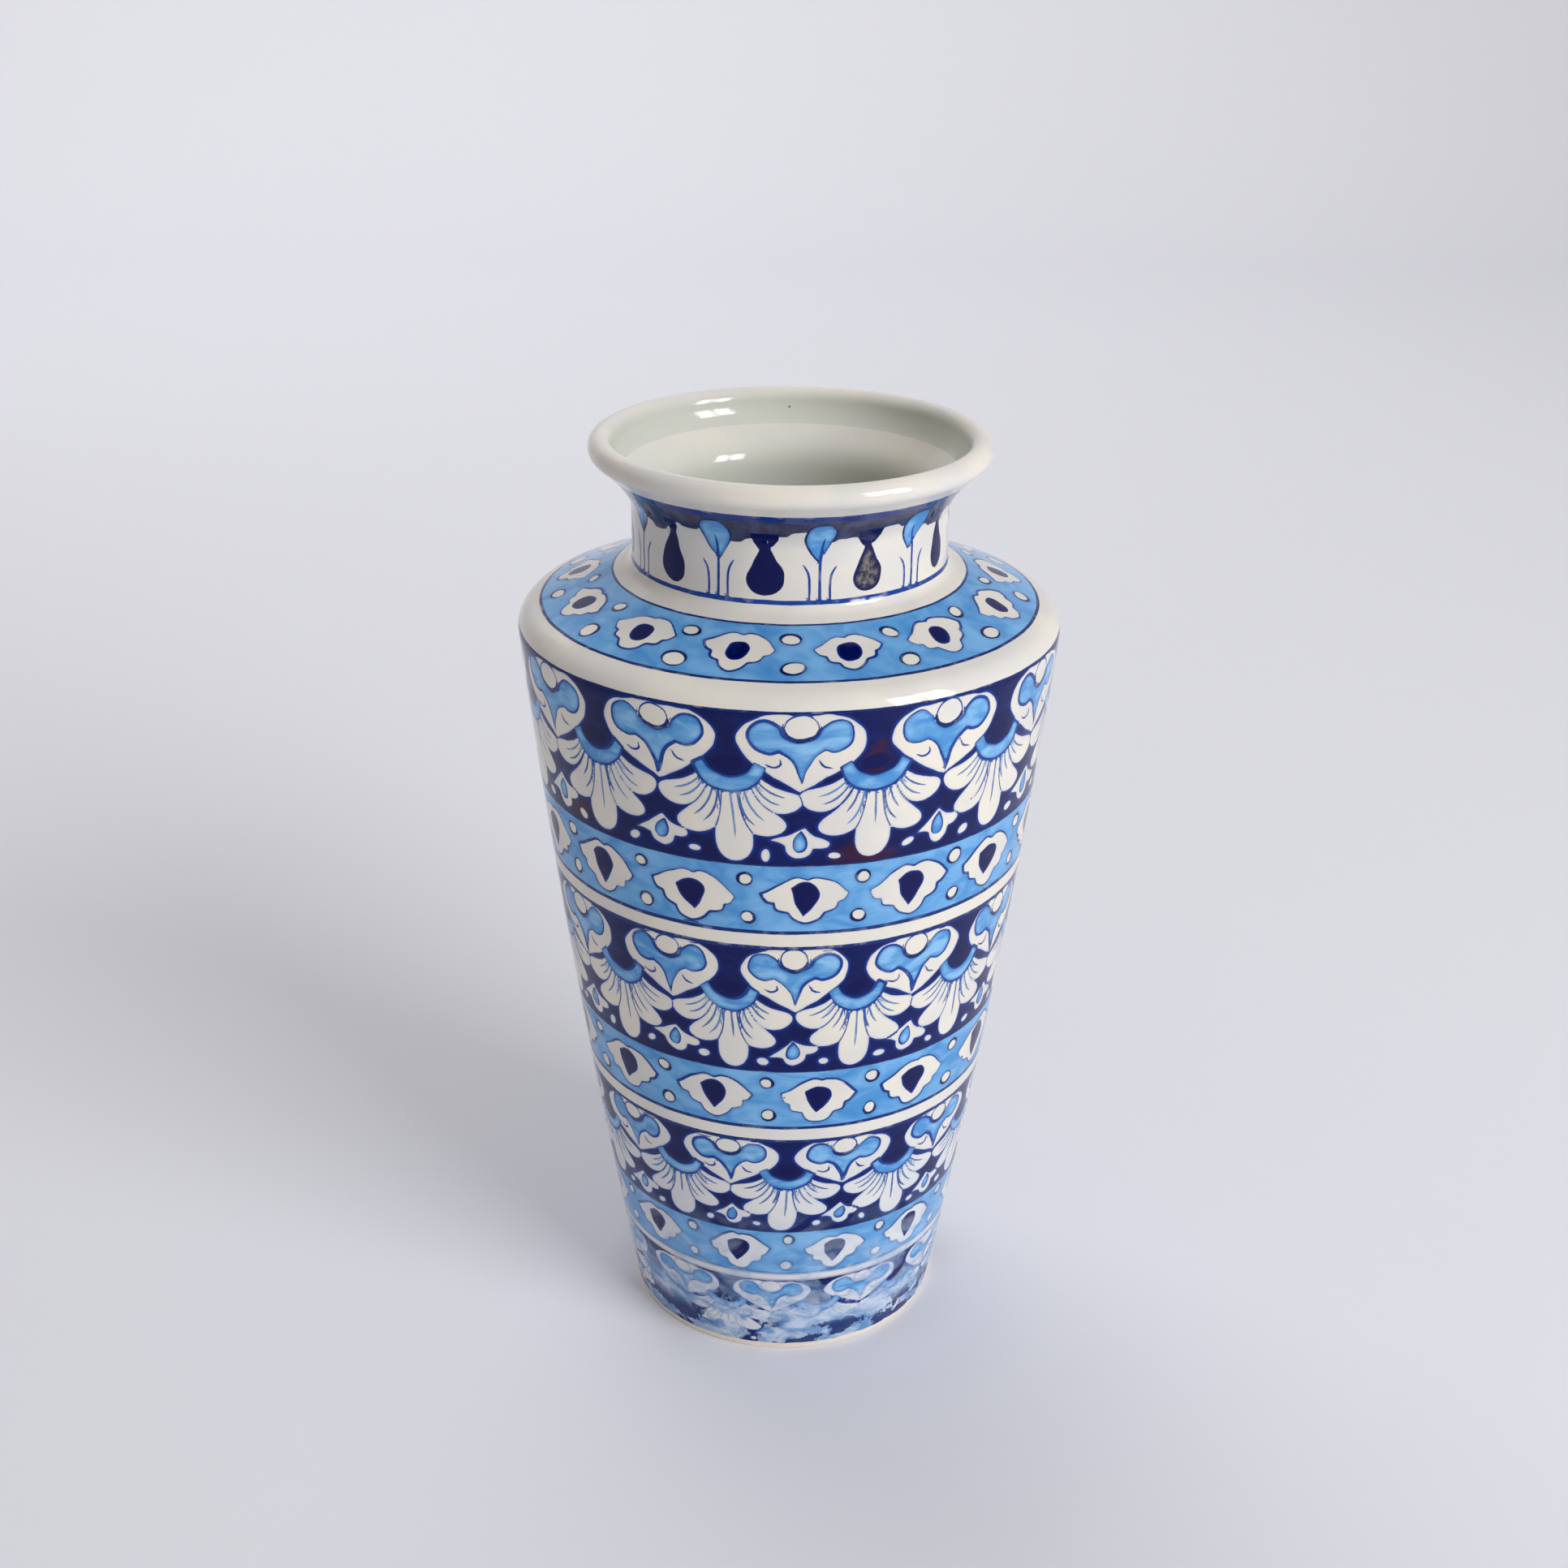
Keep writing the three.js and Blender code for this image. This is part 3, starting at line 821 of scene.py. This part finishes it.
    worn = worn_share(n, height)
    streaks = n.step(n.noise(9, 4, (1, 1, 1.5), 0.55, 0.6), 0.36, 0.66)
    faded = n.mix(streaks, srgb(104, 148, 198), srgb(198, 212, 230))
    colour = n.mix(worn, colour, faded)
    spill = n.math("ADD", n.noise(30, 2, (1, 1, 2.4)), n.math("MULTIPLY", n.noise(3.2, 4, rough=0.7), 0.34))
    spilt = n.math("MULTIPLY", n.step(spill, 0.73, 0.76), n.step(height, 0.010, 0.018, 0.95, 0.0))
    colour = n.mix(spilt, colour, srgb(14, 42, 104))

    pits = n.new("ShaderNodeTexVoronoi", feature="F1")
    n.put(pits.inputs["Vector"], n.place)
    pits.inputs["Scale"].default_value = 95
    chance = n.new("ShaderNodeSeparateColor")
    n.put(chance.inputs[0], pits.outputs["Color"])
    speck = n.math("MULTIPLY", n.step(pits.outputs["Distance"], 0.026, 0.05, 1.0, 0.0),
                   n.math("GREATER_THAN", chance.outputs[0], 0.8))
    colour = n.mix(n.math("MULTIPLY", speck, 0.8), colour, srgb(70, 58, 48))

    clay = n.mix(n.noise(1.6, 4, rough=0.7), srgb(222, 209, 192), srgb(240, 232, 220))
    bare = n.step(n.math("ADD", n.field("clay"), wobble), -0.15, 0.15)
    colour = n.mix(bare, colour, clay)
    n.put(n.shader.inputs["Base Color"], colour)
    n.shader.inputs["Specular IOR Level"].default_value = 0.18
    gloss = n.step(broad, 0.3, 0.7, 0.05, 0.11)
    gloss = n.math("MAXIMUM", gloss, n.math("MULTIPLY", worn, 0.3))
    n.put(n.shader.inputs["Roughness"], n.math("MAXIMUM", gloss, n.math("MULTIPLY", bare, 0.85)))

    # Brushed lines stand a little proud, and the glaze has a faint orange peel.
    relief = n.math("MULTIPLY", n.step(gap, -0.3, 0.3), 0.04)
    relief = n.math("ADD", relief, n.math("MULTIPLY", n.noise(4, 2), 0.055))
    relief = n.math("ADD", relief, n.math("MULTIPLY", speck, -0.15))
    relief = n.math("ADD", relief, n.math("MULTIPLY", n.math("MULTIPLY", bare, n.noise(0.8, 3)), 0.25))
    bump = n.new("ShaderNodeBump")
    bump.inputs["Distance"].default_value = MM
    bump.inputs["Strength"].default_value = 0.8
    n.put(bump.inputs["Height"], relief)
    n.put(n.shader.inputs["Normal"], bump.outputs[0])
    return n.material


def height_of(n):
    node = n.new("ShaderNodeSeparateXYZ")
    n.put(node.inputs[0], n.place)
    return node.outputs["Z"]


def worn_share(n, height):
    """How much of the paint near the foot has worn and run: flakes below, a haze above."""
    low = n.step(height, 0.014, 0.042, 1.0, 0.0)
    haze = n.step(height, 0.026, 0.080, 0.5, 0.0)
    smear = n.noise(24, 3, (1, 1, 1.4), 0.5, 1.4)
    flake = n.noise(4.5, 5, (1, 1, 0.8), 0.62, 0.5)
    both = n.math("ADD", n.math("MULTIPLY", smear, 0.66), n.math("MULTIPLY", flake, 0.34))
    torn = n.step(both, 0.43, 0.51)
    share = n.math("MULTIPLY", n.math("MULTIPLY", torn, low), 0.9)
    cloud = n.math("MULTIPLY", haze, n.step(smear, 0.4, 0.62))
    return n.math("MAXIMUM", share, cloud)


# ---------------------------------------------------------------- the pieces
def middle_of(a, b):
    """The bottom of the V across a joint's face."""
    return (np.array(a) + np.array(b)) / 2 - (0, GROOVE)


def foot_ring(section):
    """Rounded lower edges, bare underneath and in the bore."""
    bore, height, round_off = FOOT_RADIUS - FOOT_RING_WIDTH, section.outside[-1, 1], FOOT_EDGE
    heel = arc(section.outside[0, 0] - round_off, round_off, round_off, -math.pi / 2, 0, 5)[:-1]
    toe = arc(bore + round_off, round_off, round_off, math.pi, 1.5 * math.pi, 5)
    bottom = [(r, 0.0) for r in np.linspace(toe[-1, 0], heel[0, 0], 6)[1:-1]]
    after = np.concatenate([[(bore, height)], toe, bottom, heel])
    n = len(section.outside)
    return build(section, [], after, [n - 1, n], np.arange(n, n + len(after)))


def base_dish(section):
    """The floor with its fillet and short upturned edge; its underside is bare."""
    below = section.outside[0, 1]
    under = [(r, below) for r in (2, 20, 35, FOOT_RADIUS - FOOT_RING_WIDTH - 0.2)]
    hollow = stretch(INNER, INNER[0, 1], DISH_SEAM, 1.0)[::-1]
    floor = [(r, INNER[0, 1]) for r in (40, 30, 20, 10, 2)]
    after = np.concatenate([[middle_of(section.outside[-1], hollow[0])], hollow, floor])
    last = len(under) + len(section.outside) - 1
    sharp = [len(under), last, last + 2]
    return build(section, under, after, sharp, np.arange(len(under)), ends_on_axis=True)


def wall_section(section):
    """Outside, groove, inside and tongue."""
    low, high = section.outside[[0, -1], 1]
    lining = stretch(INNER, low, high, 2.5)[::-1]
    groove = middle_of(section.outside[-1], lining[0])
    tongue = middle_of(section.outside[0], lining[-1])
    n = len(section.outside)
    after = np.concatenate([[groove], lining, [tongue]])
    return build(section, [], after, [0, n - 1, n + 1, n + len(lining)], [])


def lip(section):
    """The rolled lip: outside and inside meet at its crown."""
    lining = stretch(INNER, section.outside[0, 1], TOP, CELL)[::-1][1:]
    tongue = middle_of(section.outside[0], lining[-1])
    after = np.concatenate([lining, [tongue]])
    return build(section, [], after, [0, len(section.outside) + len(lining) - 1], [])


SECTIONS = [
    ("foot_ring", FOOT_EDGE, FOOT_SEAM, foot_ring, "bare_clay", ["foot_slip"]),
    ("base_dish", FOOT_SEAM, DISH_SEAM, base_dish, "painted_glaze", []),
    ("lower_wall", DISH_SEAM, WALL_SEAM, wall_section, "painted_glaze", ["dish_slip"]),
    ("upper_wall", WALL_SEAM, SHOULDER_SEAM, wall_section, "painted_glaze", ["wall_slip"]),
    ("shoulder", SHOULDER_SEAM, NECK_SEAM, wall_section, "painted_glaze", ["shoulder_slip"]),
    ("neck_collar", NECK_SEAM, LIP_SEAM, wall_section, "white_glaze", ["neck_slip"]),
    ("lip", LIP_SEAM, TOP, lip, "white_glaze", ["lip_slip"]),
]


def make_vase():
    sections = [Section(name, low, high) for name, low, high, *_ in SECTIONS]
    paint_everything()
    glaze = painted_glaze()
    for section, (name, _, _, shape, slot, joints) in zip(sections, SECTIONS):
        piece = shape(section)
        piece.data.materials.append(glaze)
        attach(piece, "root")
        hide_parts(name, *joints)


# ---------------------------------------------------------------- floor, light and camera
def make_stage():
    """A pale floor that curves up into a backdrop behind."""
    near, far, bend, wide, tall = -3.0, 2.2, 0.8, 6.0, 3.5
    turn = np.linspace(0, math.pi / 2, 17)
    line = [(near, 0.0)] + [(far + bend * math.sin(a), bend * (1 - math.cos(a))) for a in turn]
    line.append((far + bend, tall))
    points = [(x, y, z) for y, z in line for x in (-wide, wide)]
    faces = [(2 * i, 2 * i + 1, 2 * i + 3, 2 * i + 2) for i in range(len(line) - 1)]
    mesh = bpy.data.meshes.new("floor")
    mesh.from_pydata(points, [], faces)
    mesh.polygons.foreach_set("use_smooth", [True] * len(faces))
    n = Nodes("pale_floor")
    colour = n.mix(n.noise(900, 2), FLOOR_COLOUR, tuple(0.97 * v for v in FLOOR_COLOUR[:3]) + (1,))
    n.put(n.shader.inputs["Base Color"], colour)
    n.shader.inputs["Roughness"].default_value = 0.7
    mesh.materials.append(n.material)
    floor = bpy.data.objects.new("floor", mesh)
    bpy.context.scene.collection.objects.link(floor)


def softbox(name, place, aim, wide, tall, watts, colour, mirrored):
    """An area light. A mirrored one only shows in reflections, and the others give only diffuse light."""
    light = bpy.data.lights.new(name, "AREA")
    light.shape = "RECTANGLE"
    light.size, light.size_y = wide, tall
    light.energy = watts
    light.color = colour
    lamp = bpy.data.objects.new(name, light)
    lamp.location = place
    lamp.rotation_euler = (Vector(aim) - Vector(place)).to_track_quat("-Z", "Y").to_euler()
    lamp.visible_glossy = mirrored
    lamp.visible_diffuse = not mirrored
    bpy.context.scene.collection.objects.link(lamp)


def make_lights():
    softbox("key", (2.0, -1.8, 1.6), (0, 0, 0.15), 1.6, 1.6, 66, (0.95, 0.97, 1.0), False)
    for side in (-1, 1):
        place = (1.15 + side * 0.10, -0.80 + side * 0.14, 0.76)
        softbox("window", place, (0, 0, 0.28), 0.28, 0.8, 24, (1.0, 1.0, 1.0), True)
    softbox("sky", (-1.0, 1.9, 2.6), (-0.6, 2.5, 0.5), 3.0, 2.0, 40, (0.98, 0.99, 1.0), False)
    world = bpy.data.worlds.new("room")
    world.use_nodes = True
    room = world.node_tree.nodes["Background"]
    room.inputs["Color"].default_value = (0.84, 0.81, 0.81, 1)
    room.inputs["Strength"].default_value = 0.42
    bpy.context.scene.world = world


def make_camera():
    """A 50 mm lens 0.82 m from a point on the vase's axis, looking 24 degrees down."""
    distance, aim = 0.818, 0.21475
    down, left, roll = (math.radians(a) for a in (24, -0.101, 0.533))
    ahead = Vector((math.sin(left) * math.cos(down), math.cos(left) * math.cos(down), -math.sin(down)))
    level = Vector((math.cos(left), -math.sin(left), 0))
    over = level.cross(ahead)
    right = math.cos(roll) * level + math.sin(roll) * over
    up = -math.sin(roll) * level + math.cos(roll) * over
    camera = bpy.data.cameras.new("camera")
    camera.lens, camera.sensor_width = 50, 36
    view = bpy.data.objects.new("camera", camera)
    place = Vector((0, -distance * math.cos(down), aim + distance * math.sin(down)))
    turn = Matrix((right, up, -ahead)).transposed().to_4x4()
    view.matrix_world = Matrix.Translation(place) @ turn
    bpy.context.scene.collection.objects.link(view)
    bpy.context.scene.camera = view


make_vase()
make_stage()
make_lights()
make_camera()
bpy.context.scene.view_settings.view_transform = "Standard"
